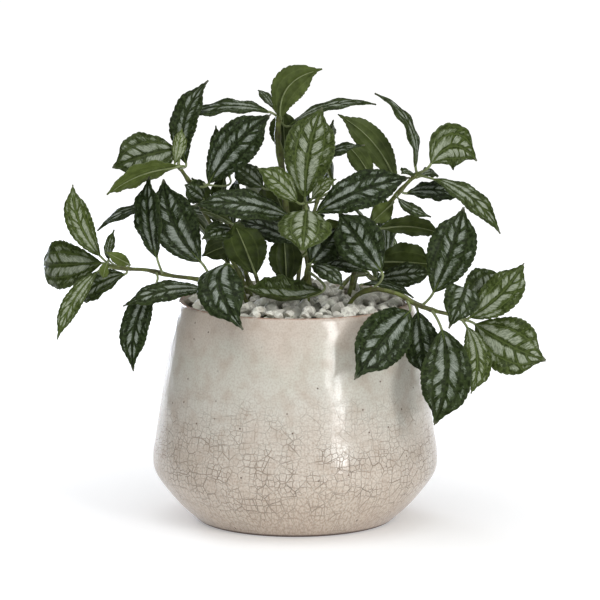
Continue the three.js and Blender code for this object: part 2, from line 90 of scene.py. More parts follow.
# ---------------- the plant
# Each shoot has the points of its stem, root first, its radius where the stem is a thick one, and
# its leaves: [where on the stem 0-1, blade base, blade tip, width, turn, bow, sway, cup, age].
# turn is in degrees round the blade, 0 with its upper face to the viewer and 180 with its
# underside. bow and sway bend it out of and in its plane, as shares of its length. cup
# lifts its edges, as a share of the half width. age runs from 0, grown, to 1, newly opened.
SHOOTS = {
  "shoot_left_low": {
    "stem": [[-30, -12, 112], [-36, -18, 150], [-50, -26, 164], [-68, -28, 171],
      [-88, -28, 174], [-105, -26, 178], [-120, -25, 179], [-133, -25, 181]],
    "leaves": [
      [0.96, [-138, -27, 188], [-157, -32, 239], 19, 5, 0.08, -0.1, 0.1, 0.75],
      [1.0, [-137, -22, 183], [-178, 20, 181], 35, 0, 0.22, 0, -0.1, 0.5],
      [0.93, [-140, -31, 177], [-169, -38, 128], 14, 12, 0.08, 0.05, 0.1, 0.7],
      [0.86, [-121, -18, 175], [-154, 2, 155], 24, 45, 0.1, 0, 0, 0.25],
      [0.9, [-132, -29, 186], [-128, -38, 207], 9, 40, 0.1, -0.15, 0, 0.3],
      [0.86, [-117, -27, 182], [-134, -42, 191], 9, 180, -0.1, 0, 0, 1.0],
      [1.0, [-133, -36, 184], [-136, -50, 172], 8, 150, 0.1, 0, 0, 1.0],
      [0.62, [-98, -39, 187], [-103, -46, 245], 25, -38, 0.08, 0, 0.1, 0.0],
      [0.36, [-67, -32, 184], [-93, -39, 243], 34, 8, 0.06, -0.1, 0.1, 0.0],
      [0.42, [-65, -42, 164], [-122, -50, 152], 18, 35, 0.13, 0, 0, 0.1],
      [0.66, [-99, -38, 168], [-115, -44, 105], 21, 15, 0.08, 0.08, 0.1, 0.0]]
  },
  "shoot_left_rim": {
    "stem": [[-28, -26, 112], [-33, -34, 150], [-40, -42, 168], [-46, -46, 181]],
    "leaves": [
      [1.0, [-47, -50, 182], [-37, -84, 135], 33, 0, 0.22, 0.15, -0.1, 0.0]]
  },
  "shoot_upper_left": {
    "stem": [[-20, 6, 112], [-32, 8, 158], [-50, 6, 195], [-66, 0, 222], [-73, -4, 238],
      [-80, -8, 249], [-83, -10, 253]],
    "leaves": [
      [0.9, [-77, -2, 254], [-61, 6, 313], 22, -25, 0.05, -0.13, 0.1, 0.1],
      [0.98, [-84, -4, 264], [-129, -16, 251], 37, 20, 0.1, 0, 0, 0.4],
      [0.9, [-83, -30, 252], [-133, -52, 232], 25, 122, 0.1, 0, 0, 0.8],
      [0.96, [-85, -10, 254], [-80, -6, 279], 11, 20, 0.05, 0, 0.2, 1.0],
      [0.6, [-62, 10, 222], [-73, 18, 244], 18, 150, 0, 0, 0, 0.0],
      [0.68, [-65, -8, 229], [-78, -18, 239], 19, 22, 0.1, 0, 0, 0.1],
      [0.7, [-61, -14, 240], [-17, -24, 289], 31, 0, 0.06, -0.06, 0.1, 0.0],
      [0.72, [-46, 4, 244], [-56, 0, 281], 14, 15, 0.05, -0.06, 0, 0.3],
      [0.62, [-90, 8, 222], [-140, -2, 206], 17, 62, 0.14, 0, 0, 0.1]]
  },
  "shoot_top": {
    "radius": 2.6,
    "stem": [[-2, 14, 112], [-3, 14, 160], [-6, 10, 215], [-9, 6, 248], [-12, 3, 268],
      [-12, 1, 282], [-11, 0, 288]],
    "leaves": [
      [1.0, [-10, -1, 286], [19, -10, 321], 24, 180, -0.05, 0.2, 0, 0.7],
      [0.96, [-19, 4, 291], [-83, 32, 284], 27, 66, 0.1, 0, 0, 0.15],
      [0.94, [-4, 6, 281], [57, 12, 296], 17, -62, 0.12, 0, 0, 0.2],
      [0.6, [-7, 15, 262], [-9, 19, 293], 21, 180, 0, 0, 0, 0.2],
      [1.0, [-15, 4, 293], [-26, 14, 306], 8, 30, 0.1, 0, 0, 0.3],
      [0.74, [4, 4, 250], [49, -14, 267], 17, -60, 0.08, 0, 0, 0.1],
      [0.46, [-23, 8, 237], [-43, 16, 252], 19, 25, 0.08, 0, 0, 0.2]]
  },
  "shoot_centre": {
    "stem": [[6, -4, 112], [9, -8, 160], [10, -12, 188], [9, -18, 208], [7, -22, 222], [7, -24, 227]],
    "leaves": [
      [1.0, [7, -27, 230], [19, -24, 294], 36, 0, 0.05, -0.05, 0.1, 0.6],
      [0.97, [1, -33, 227], [-27, -46, 251], 21, 30, 0.1, 0, 0.1, 0.75],
      [0.97, [12, -34, 229], [29, -48, 243], 13, -40, 0.1, 0, 0.1, 0.85],
      [0.9, [8, -34, 221], [5, -66, 190], 38, 0, 0.12, 0, -0.1, 0.65],
      [0.8, [-4, -30, 216], [-72, -38, 224], 26, 35, 0.13, 0, 0, 0.05],
      [0.85, [15, -28, 219], [81, -28, 244], 29, -22, 0.06, -0.03, 0, 0.0],
      [0.72, [2, -20, 197], [-40, -14, 213], 20, 30, 0.1, 0, 0, 0.0]]
  },
  "shoot_upper_right": {
    "stem": [[26, 4, 112], [38, 5, 160], [46, 4, 190], [58, 2, 214], [70, -2, 230],
      [80, -5, 241], [86, -6, 247]],
    "leaves": [
      [1.0, [85, -5, 252], [56, 4, 304], 25, 70, 0.17, 0, 0, 0.2],
      [1.0, [96, -16, 254], [128, 2, 256], 34, 0, 0.02, -0.3, -0.2, 0.6],
      [0.98, [98, -14, 243], [145, -26, 204], 20, -40, 0.15, 0, 0, 0.4],
      [0.74, [79, 2, 233], [117, 6, 230], 24, -54, 0.1, 0, 0, 0.0],
      [0.96, [83, -13, 247], [75, -22, 247], 12, 60, 0.1, 0, 0, 0.2],
      [0.94, [88, 3, 245], [101, 10, 245], 14, -60, 0.2, 0, 0, 0.2],
      [0.7, [73, -12, 229], [96, -18, 216], 10, -35, 0.1, 0.16, 0, 0.2],
      [0.6, [69, -6, 226], [54, -12, 212], 14, 180, 0.05, 0, 0, 1.0],
      [0.24, [51, -7, 177], [13, -18, 182], 20, 42, 0.12, 0.05, 0, 0.1]]
  },
  "shoot_right_back": {
    "stem": [[30, 26, 112], [40, 32, 160], [50, 34, 200], [58, 30, 228], [63, 26, 243]],
    "leaves": [
      [1.0, [71, 24, 240], [30, 20, 289], 20, 180, 0, -0.09, 0, 0.5],
      [0.98, [54, 13, 242], [35, 10, 269], 15, 180, 0, -0.05, 0, 0.5],
      [0.72, [60, 26, 208], [104, 20, 204], 20, -135, 0.12, 0, 0, 0.4],
      [0.55, [56, 24, 184], [100, 18, 182], 30, -155, 0.06, 0, 0, 0.3],
      [0.45, [58, 14, 171], [98, 8, 176], 20, -30, 0.05, 0, 0, 0.1]]
  },
  "shoot_right_low": {
    "stem": [[28, -20, 112], [40, -30, 156], [54, -40, 164], [72, -47, 161], [85, -52, 154],
      [98, -54, 149], [110, -53, 146], [121, -52, 142]],
    "leaves": [
      [0.28, [61, -46, 177], [31, -42, 219], 34, 0, 0.08, 0, 0, 0.0],
      [0.62, [98, -56, 162], [119, -62, 223], 34, 0, 0.06, 0.03, 0.1, 0.05],
      [0.5, [81, -60, 148], [42, -93, 99], 36, 0, 0.12, 0.03, 0.1, 0.0],
      [0.56, [87, -50, 148], [94, -52, 100], 26, 10, 0.06, 0, 0, 0.0],
      [0.7, [104, -68, 135], [99, -76, 66], 36, 0, 0.08, -0.08, 0.1, 0.1],
      [0.95, [122, -58, 137], [125, -70, 89], 22, -20, 0.06, -0.1, 0, 0.7],
      [1.0, [128, -48, 139], [178, -46, 113], 41, 0, 0.1, 0.04, 0, 0.6],
      [1.0, [124, -54, 144], [162, -60, 183], 27, -10, 0.08, 0.08, 0, 0.6],
      [0.97, [119, -46, 152], [147, -22, 174], 31, -10, 0.12, 0, 0, 0.3],
      [0.9, [120, -60, 164], [109, -86, 136], 26, 0, 0.3, 0, 0, 0.1],
      [0.24, [48, -24, 168], [84, -28, 158], 16, -70, 0.1, 0, 0, 0.1]]
  },
  "shoot_low_centre": {
    "stem": [[2, -26, 112], [5, -30, 158], [8, -34, 174], [9, -35, 182]],
    "leaves": [
      [0.8, [19, -44, 163], [-36, -52, 166], 32, 62, -0.14, 0, 0.6, 0.4],
      [0.7, [-6, -12, 168], [-8, 6, 205], 24, 180, 0, 0, 0, 0.1],
      [1.0, [12, -42, 181], [34, -56, 166], 16, -40, 0.12, 0, 0, 0.1],
      [1.0, [11, -28, 183], [30, -20, 208], 27, 0, 0.05, 0, 0, 0.0]]
  },
  "shoot_low_left": {
    "stem": [[-16, -12, 112], [-24, -16, 160], [-32, -18, 186], [-39, -20, 203]],
    "leaves": [
      [0.62, [-28, -26, 175], [-43, -34, 212], 31, 165, 0.05, 0, 0, 0.1],
      [1.0, [-43, -24, 205], [-66, -46, 200], 18, 40, 0.15, 0, 0, 0.1],
      [1.0, [-44, -14, 211], [-68, -6, 221], 11, 130, 0.1, 0, 0, 0.6],
      [0.8, [-43, -10, 197], [-66, -4, 188], 18, 160, 0.1, 0, 0, 0.2]]
  }
}

# Towards the back the plant carries shoots like those in front, swung round the pot's axis,
# drawn in or out, lowered, and with their leaves turned and widened a little at random.
BACK_SHOOTS = {
  "shoot_back_left_low": {
    "like": "shoot_left_low", "swung": -75, "reach": 0.85, "lowered": 5, "without": [2, 4, 6, 9]
  },
  "shoot_back_right_low": {
    "like": "shoot_right_low", "swung": 78, "reach": 0.85, "lowered": 2, "without": [0, 2, 3, 4, 9, 10]
  },
  "shoot_back_upper_left": {
    "like": "shoot_upper_left", "swung": -95, "reach": 1, "lowered": 33, "without": [4, 5]
  },
  "shoot_back_upper_right": {
    "like": "shoot_upper_right", "swung": 83, "reach": 1, "lowered": 30, "without": [0, 4, 7, 8]
  },
  "shoot_back_middle": {
    "like": "shoot_low_left", "swung": -62, "reach": 1.3, "lowered": 0, "without": [2, 3]
  },
  "shoot_back_centre": {
    "like": "shoot_centre", "swung": 170, "reach": 1.2, "lowered": 50, "without": [3, 4, 5, 6]
  }
}


# ---------------- small helpers
def colour(code):
    """An sRGB hex colour as the linear RGBA that the shaders take."""
    shares = [int(code[i:i + 2], 16) / 255 for i in (1, 3, 5)]
    return [s / 12.92 if s <= 0.04045 else ((s + 0.055) / 1.055) ** 2.4 for s in shares] + [1]


def add(tree, kind, inputs=None, stops=None, **settings):
    """A shader node with its settings, its inputs as constants or links, and a ramp's stops. A
    node given as an input is read at the first of its outputs that is in use."""
    made = tree.nodes.new("ShaderNode" + kind)
    for name, value in settings.items():
        setattr(made, name, value)
    for key, value in (inputs or {}).items():
        if isinstance(value, bpy.types.Node):
            value = next(output for output in value.outputs if output.enabled)
        if isinstance(value, bpy.types.NodeSocket):
            tree.links.new(value, made.inputs[key])
        else:
            made.inputs[key].default_value = value
    if stops:
        ramp = made.color_ramp.elements
        while len(ramp) < len(stops):
            ramp.new(0.5)
        for element, (place, value) in zip(ramp, stops):
            element.position = place
            element.color = value if isinstance(value, list) else [value, value, value, 1]
    return made


def material(name):
    """An empty node material, and the tree to build it in."""
    made = bpy.data.materials.new(name)
    made.use_nodes = True
    made.node_tree.nodes.clear()
    return made, made.node_tree


def smoothstep(x, low, high):
    """From 0 at low to 1 at high, easing in and out."""
    t = min(max((x - low) / (high - low), 0), 1)
    return t * t * (3 - 2 * t)


def drawer(seed):
    """A repeatable source of numbers from 0 to 1."""
    state = seed

    def draw():
        nonlocal state
        state = (state * 16807) % 2147483647
        return state / 2147483647
    return draw


def to_metres(bm):
    """Turns a mesh's faces outwards and brings it from millimetres to metres."""
    bmesh.ops.recalc_face_normals(bm, faces=bm.faces)
    bmesh.ops.scale(bm, vec=(MM, MM, MM), verts=bm.verts)


def piece(name, bm, finishes, node, smooth=True):
    """An object of the model, riding on the one body, in place of its solid."""
    mesh = bpy.data.meshes.new(name)
    for vert in bm.verts:
        vert.co = [min(max(at, low), high) for at, low, high in zip(vert.co, *CAD_BOX)]
    bm.to_mesh(mesh)
    bm.free()
    for finish in finishes:
        mesh.materials.append(finish)
    if smooth:
        mesh.shade_smooth()
    made = bpy.data.objects.new(name, mesh)
    bpy.context.scene.collection.objects.link(made)
    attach(made, "root")
    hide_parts(node)


class Curve:
    """A centripetal Catmull-Rom curve through points, read at t from 0 to 1."""

    def __init__(self, points):
        self.points = points

    def __call__(self, t):
        points = self.points
        last = len(points) - 1
        at = last * t
        i = min(int(at), last - 1)
        weight = at - i
        p1, p2 = points[i], points[i + 1]
        p0 = points[i - 1] if i > 0 else p1 * 2 - p2
        p3 = points[i + 2] if i < last - 1 else p2 * 2 - p1
        gaps = [(b - a).length_squared ** 0.25 for a, b in ((p0, p1), (p1, p2), (p2, p3))]
        middle = gaps[1] if gaps[1] > 1e-4 else 1
        before = gaps[0] if gaps[0] > 1e-4 else middle
        after = gaps[2] if gaps[2] > 1e-4 else middle
        start = ((p1 - p0) / before - (p2 - p0) / (before + middle) + (p2 - p1) / middle) * middle
        end = ((p2 - p1) / middle - (p3 - p1) / (middle + after) + (p3 - p2) / after) * middle
        square, cube = weight * weight, weight * weight * weight
        return (p1 + start * weight + (p2 * 3 - p1 * 3 - start * 2 - end) * square
                + (p1 * 2 - p2 * 2 + start + end) * cube)


def bars(paths):
    """A mesh, in metres, of round bars, each given by its points with their radii."""
    curve = bpy.data.curves.new("bars", "CURVE")
    curve.dimensions = "3D"
    curve.bevel_depth = MM
    curve.bevel_resolution = 2
    curve.use_fill_caps = True
    for path in paths:
        spline = curve.splines.new("POLY")
        spline.points.add(len(path) - 1)
        for point, (place, radius) in zip(spline.points, path):
            point.co = [*(place * MM), 1]
            point.radius = radius
    holder = bpy.data.objects.new("bars", curve)
    bpy.context.scene.collection.objects.link(holder)
    bpy.context.view_layer.update()
    mesh = bpy.data.meshes.new_from_object(holder)
    bpy.data.objects.remove(holder)
    bpy.data.curves.remove(curve)
    return mesh


# ---------------- camera, light and floor
# Places and sizes of the lamps and the paper are in metres, and powers in watts.
ROOM_LIGHT = 0.16
OVERHEAD_LIGHT = 2.25
OVERHEAD_SPREAD = 75  # degrees
OVERHEAD_WAY = (0.02, 0.22, -1.0)  # which way its light falls
LIT_POINT = (0, 0, 0.12)  # what the other lamps are turned to
LAMPS = [  # name, place, width and height, power and colour
    ("window", (1.27, -1.75, 0.75), (0.42, 1.05), 20, "#ffffff"),
    ("left edge", (-0.66, 1.35, 0.3), (0.35, 0.8), 12, "#e6eeff")]
PAPER_HALF = (0.85, 4.5, 1)
PAPER_MIDDLE = (0.12, 2.7, 0)
PAINTED_SHADE_ENDS = (0.12, 0.5)  # where the painted shade round the pot on the paper starts to fade, and is gone
PAPER_PAINTED_GLOW = (0.32, 0.45)  # the paper's painted glow within its painted shade near the pot, and clear of it


def camera():
    """At the viewer's place, looking at the pot's axis."""
    made = bpy.data.objects.new("camera", bpy.data.cameras.new("camera"))
    made.data.sensor_width = SENSOR
    made.data.lens = FOCAL_PIXELS / IMAGE_SIDE * SENSOR
    made.data.clip_end = 50
    made.location = Vector((VIEW_X, -VIEW_DISTANCE, VIEW_HEIGHT)) * MM
    down = math.atan2(VIEW_HEIGHT - AIM_HEIGHT, VIEW_DISTANCE)
    made.rotation_euler = (math.pi / 2 - down, 0, 0)
    bpy.context.scene.collection.objects.link(made)
    bpy.context.scene.camera = made


def lamp(light, place, way):
    """A lamp at its place, turned to shine along a way."""
    made = bpy.data.objects.new(light.name, light)
    made.location = place
    made.rotation_euler = Vector(way).to_track_quat("-Z", "Y").to_euler()
    bpy.context.scene.collection.objects.link(made)


def lights():
    """A dim room with a broad soft light overhead, a window to the right and a lamp behind."""
    world = bpy.data.worlds.new("grey room")
    bpy.context.scene.world = world
    world.use_nodes = True
    room = world.node_tree.nodes["Background"]
    room.inputs["Color"].default_value = colour("#ffffff")
    room.inputs["Strength"].default_value = ROOM_LIGHT
    overhead = bpy.data.lights.new("overhead", "SUN")
    overhead.energy = OVERHEAD_LIGHT
    overhead.angle = math.radians(OVERHEAD_SPREAD)
    lamp(overhead, (0, 0, 0), OVERHEAD_WAY)
    for name, place, size, power, tint in LAMPS:
        box = bpy.data.lights.new(name, "AREA")
        box.shape = "RECTANGLE"
        box.size, box.size_y = size
        box.energy = power
        box.color = colour(tint)[:3]
        lamp(box, place, Vector(LIT_POINT) - Vector(place))


def white_paper():
    """White paper, matt, with a painted glow so that it stays white up to the pot's soft shadow, and
    painted shade where that glow is lower near the pot.
    """
    made, tree = material("white paper with painted glow and shade")
    away = add(tree, "VectorMath", {0: add(tree, "TexCoord").outputs["Object"]}, operation="LENGTH")
    near, far = PAINTED_SHADE_ENDS
    dim, full = PAPER_PAINTED_GLOW
    # painted light and shade: the paper glows, and glows less near the pot's axis as a painted shadow
    # round its foot
    painted_glow_and_shade = add(tree, "MapRange", {0: away, 1: near, 2: far, 3: dim, 4: full}, **SMOOTH)
    surface = add(tree, "BsdfPrincipled", {
        "Base Color": colour("#dedede"), "Roughness": 0.9, "Emission Color": colour("#ffffff"),
        "Emission Strength": painted_glow_and_shade})
    add(tree, "OutputMaterial", {"Surface": surface})
    return made


def paper_floor():
    """A strip of paper that runs on behind the pot. The room beside it is dark, and shows as a
    darker band on the glaze."""
    sheet = bmesh.new()
    bmesh.ops.create_grid(sheet, x_segments=2, y_segments=2, size=1)
    bmesh.ops.scale(sheet, vec=PAPER_HALF, verts=sheet.verts)
    bmesh.ops.translate(sheet, vec=PAPER_MIDDLE, verts=sheet.verts)
    mesh = bpy.data.meshes.new("floor")
    sheet.to_mesh(mesh)
    sheet.free()
    mesh.materials.append(white_paper())
    floor = bpy.data.objects.new("floor", mesh)
    bpy.context.scene.collection.objects.link(floor)
    bpy.context.scene.view_settings.view_transform = "Standard"


# ---------------- materials
# A MapRange's inputs 0 to 4 are what it reads, from low, from high, to first and to last. A
# Mix's inputs 0, 6 and 7 are the share of the second colour, the first colour and the second.
CRACK_BEND = [(26, 5), (3.4, 0.9)]  # how wide the bends in the cracks are, and how far they reach
COARSE_CELL = 9.5
COARSE_WIDTH = 0.55
FINE_CELL = 4.4
FINE_WIDTH = 0.44
HOLE_SPACING = 19
HOLE_RADII = (0.35, 0.95)  # where a pinhole's dark middle ends, and where it has faded
CRACKS_FADE = (70, 142)  # heights between which the cracks fade out upwards
CONE_CRACKS = (30, 62)  # and thin out downwards, where the pot narrows to its foot
LIP_HEIGHT = 147
FOOT_EDGE = (0.9, 2.6)  # the bare foot's edge, where the glaze was wiped off; its dark brown is partly painted contact shade

LATERAL = 0.52  # where the side veins run, as a share of the half width
CROSS_VEINS = 6.5
CROSS_SLANT = 0.26
STREAK_SLANT = 0.75  # how far the silver's streaks run back for each millimetre to the side
STREAK_LENGTH = 4.55
STREAK_WIDTH = 1.25
LEAF_SHIFT = 0.37  # how far the cross veins of one leaf lie past those of the leaf before
LEAF_SPACING = 7.7  # between leaves in the pattern's third direction, so that no two look alike


def crackle_glaze():
    """Stoneware under a glassy cream glaze that crazed as it cooled. Dark stain sits in the fine
    cracks, which are dense on the belly and fade out below the rim. The glaze pools greenish grey
    and thins to a pinkish beige towards the foot and the lip."""
    made, tree = material("crackle glaze on stoneware")
    wall = add(tree, "UVMap", uv_map="wall_mm")
    place = add(tree, "SeparateXYZ", {0: add(tree, "TexCoord").outputs["Object"]})
    height = add(tree, "Math", {0: place.outputs["Z"], 1: 1 / MM}, operation="MULTIPLY")
    # the glaze's unevenness at several sizes, each with its finer detail
    uneven = {size: add(tree, "TexNoise", {"Vector": wall, "Scale": 1 / size, "Detail": detail},
                        noise_dimensions="2D")
              for size, detail in ((1.5, 3), (3.4, 2), (5, 1), (7, 3), (13, 3), (15, 2), (16, 1),
                                   (24, 3), (26, 1), (38, 3))}

    bent = wall
    for size, reach in CRACK_BEND:
        aside = add(tree, "VectorMath", {0: uneven[size].outputs["Color"], 1: (0.5, 0.5, 0.5)},
                    operation="SUBTRACT")
        bent = add(tree, "VectorMath", {0: aside, 1: (reach, reach, 0), 2: bent},
                   operation="MULTIPLY_ADD")
    stain = add(tree, "TexNoise", {"Vector": bent, "Scale": 1 / 17, "Detail": 2},
                noise_dimensions="2D")
    # coarse cracks with finer ones between them, both stained more in some patches than in others
    crazing = []
    for cell, width, even, patches, low, high, weak, strong in (
            (COARSE_CELL, COARSE_WIDTH, 0.9, uneven[15], 0.36, 0.62, 0.3, 1),
            (FINE_CELL, FINE_WIDTH, 0.55, stain, 0.34, 0.64, 0.2, 0.95)):
        edge = add(tree, "TexVoronoi", {"Vector": bent, "Scale": 1 / cell, "Randomness": even},
                   voronoi_dimensions="2D", feature="DISTANCE_TO_EDGE")
        half = width / 2 / cell
        crack = add(tree, "MapRange", {0: edge, 1: half * 0.5, 2: half * 1.9, 3: 1, 4: 0}, **SMOOTH)
        stained = add(tree, "MapRange", {0: patches, 1: low, 2: high, 3: weak, 4: strong})
        crazing.append(add(tree, "Math", {0: crack, 1: stained}, operation="MULTIPLY"))
    crazing = add(tree, "Math", {0: crazing[0], 1: crazing[1]}, operation="MAXIMUM")
    ragged = add(tree, "Math", {0: uneven[24], 1: 50, 2: height}, operation="MULTIPLY_ADD")
    low, high = CRACKS_FADE
    belly = add(tree, "MapRange", {0: ragged, 1: low, 2: high, 3: 0.95, 4: 0.05}, **SMOOTH)
    low, high = CONE_CRACKS
    cone = add(tree, "MapRange", {0: ragged, 1: low, 2: high, 3: 0.45, 4: 1}, **SMOOTH)
    belly = add(tree, "Math", {0: belly, 1: cone}, operation="MULTIPLY")
    crazing = add(tree, "Math", {0: crazing, 1: belly}, operation="MULTIPLY")

    # pinholes, where bubbles burst in the glaze
    spots = add(tree, "TexVoronoi", {"Vector": wall, "Scale": 1 / HOLE_SPACING},
                voronoi_dimensions="2D")
    dark, faded = [radius / HOLE_SPACING for radius in HOLE_RADII]
    spot = add(tree, "MapRange", {0: spots, 1: dark, 2: faded, 3: 1, 4: 0})
    kind = add(tree, "SeparateColor", {0: spots.outputs["Color"]})
    chosen = add(tree, "MapRange", {0: kind, 1: 0.5, 2: 0.75})
    pinholes = add(tree, "Math", {0: spot, 1: chosen}, operation="MULTIPLY")

    # blotches and specks of iron, the lip where the glaze ran thin, and the bare foot, whose dark brown is
    # partly painted contact shade
    blotches = add(tree, "MapRange", {0: uneven[13], 1: 0.45, 2: 0.75, 3: 0, 4: 0.55})
    specks = add(tree, "MapRange", {0: uneven[1.5], 1: 0.42, 2: 0.7})
    speckled = add(tree, "MapRange", {0: ragged, 1: 45, 2: 125, 3: 0.75, 4: 0.3})
    specks = add(tree, "Math", {0: specks, 1: speckled}, operation="MULTIPLY")
    lip = add(tree, "MapRange", {0: height, 1: LIP_HEIGHT, 2: POT_HEIGHT})
    lip = add(tree, "ValToRGB", {0: lip}, stops=[(0.0, 0.0), (0.84, 0.08), (0.94, 0.5), (0.985, 1.0)])
    worn = add(tree, "MapRange", {0: uneven[7], 1: 0.3, 2: 0.55, 3: 0.25, 4: 1})
    lip = add(tree, "Math", {0: lip, 1: worn}, operation="MULTIPLY")
    low, high = FOOT_EDGE
    foot = add(tree, "MapRange", {0: height, 1: low, 2: high, 3: 1, 4: 0})

    # the glaze's own colour, thicker and greener where it pooled
    pooled = add(tree, "Math", {0: uneven[38], 1: 60, 2: height}, operation="MULTIPLY_ADD")
    pooled = add(tree, "MapRange", {0: pooled, 1: 20, 2: 190})
    body = add(tree, "ValToRGB", {0: pooled}, stops=[
        (0.0, colour("#c1af9f")), (0.2, colour("#cabeaf")), (0.42, colour("#d1c9be")),
        (0.62, colour("#d0cdc3")), (0.78, colour("#cccabe")), (0.93, colour("#cec4b8"))])
    # the foot's dark brown is partly the bare clay and partly painted contact shade where the pot meets
    # the floor
    for share, tint in ((blotches, "#b9aa9b"), (crazing, "#796f62"), (pinholes, "#5b4c42"),
                        (specks, "#a18d7c"), (lip, "#96735f"), (foot, "#4f3a31")):
        body = add(tree, "Mix", {0: share, 6: body, 7: colour(tint)}, data_type="RGBA")

    # slow waves under the gloss, with the cracks and pinholes cut into them
    ripples = add(tree, "Math", {0: uneven[5], 1: belly}, operation="MULTIPLY")
    waves = add(tree, "Math", {0: ripples, 1: 0.3, 2: uneven[16]}, operation="MULTIPLY_ADD")
    lumps = add(tree, "Bump", {"Height": waves, "Strength": 0.55, "Distance": 0.9 * MM})
    pits = add(tree, "Math", {0: crazing, 1: pinholes}, operation="MAXIMUM")
    pits = add(tree, "Bump", {"Height": pits, "Strength": 0.5, "Distance": 0.12 * MM,
               "Normal": lumps}, invert=True)
    rough = add(tree, "MapRange", {0: foot, 3: 0.19, 4: 0.7})
    surface = add(tree, "BsdfPrincipled", {
        "Base Color": body, "Roughness": rough, "IOR": 1.5, "Normal": pits})
    add(tree, "OutputMaterial", {"Surface": surface})
    return made


def marble():
    """Broken marble chips, pale grey to cream, with faint grey veins and a dull, grainy face."""
    made, tree = material("tumbled marble")
    place = add(tree, "TexCoord").outputs["Object"]
    patches, grain = [
        add(tree, "TexNoise", {"Vector": place, "Scale": 1 / (size * MM), "Detail": 3})
        for size in (9, 0.9)]
    tone = add(tree, "ValToRGB", {0: patches}, stops=[
        (0.3, colour("#b1b1a2")), (0.42, colour("#dcdcd0")), (0.6, colour("#ebeadf")),
        (0.75, colour("#d6cdbc"))])
    veins = add(tree, "TexNoise", {"Vector": place, "Scale": 1 / (5 * MM), "Detail": 5,
                "Distortion": 1.2})
    veins = add(tree, "MapRange", {0: veins, 1: 0.48, 2: 0.53})
    tone = add(tree, "Mix", {0: veins, 6: tone, 7: colour("#c6c3b9")}, data_type="RGBA")
    relief = add(tree, "Bump", {"Height": grain, "Strength": 0.5, "Distance": 0.4 * MM})
    surface = add(tree, "BsdfPrincipled", {
        "Base Color": tone, "Roughness": 0.62, "IOR": 1.5, "Normal": relief})
    add(tree, "OutputMaterial", {"Surface": surface})
    return made


def potting_soil():
    """Moist peat: nearly black crumbs with no gloss."""
    made, tree = material("potting soil")
    place = add(tree, "TexCoord").outputs["Object"]
    crumbs = add(tree, "TexVoronoi", {"Vector": place, "Scale": 1 / (2.5 * MM)})
    tone = add(tree, "ValToRGB", {0: crumbs}, stops=[(0.1, colour("#2e241c")), (0.8, colour("#120e0a"))])
    bumps = add(tree, "Bump", {"Height": crumbs, "Distance": MM})
    surface = add(tree, "BsdfPrincipled", {"Base Color": tone, "Roughness": 0.95, "Normal": bumps})
    add(tree, "OutputMaterial", {"Surface": surface})
    return made


def blade_places(tree):
    """A blade's own coordinates: across from its midrib and along it as shares, its age, how far
    off its side veins lie, and its place in millimetres."""
    blade = add(tree, "SeparateXYZ", {0: add(tree, "Attribute", attribute_name="blade").outputs["Vector"]})
    spot = add(tree, "Attribute", attribute_name="spot_mm").outputs["Vector"]
    across = add(tree, "Math", {0: blade}, operation="ABSOLUTE")
    apart = add(tree, "Math", {0: across, 1: LATERAL}, operation="SUBTRACT")
    apart = add(tree, "Math", {0: apart}, operation="ABSOLUTE")
    return across, blade.outputs["Y"], blade.outputs["Z"], apart, spot


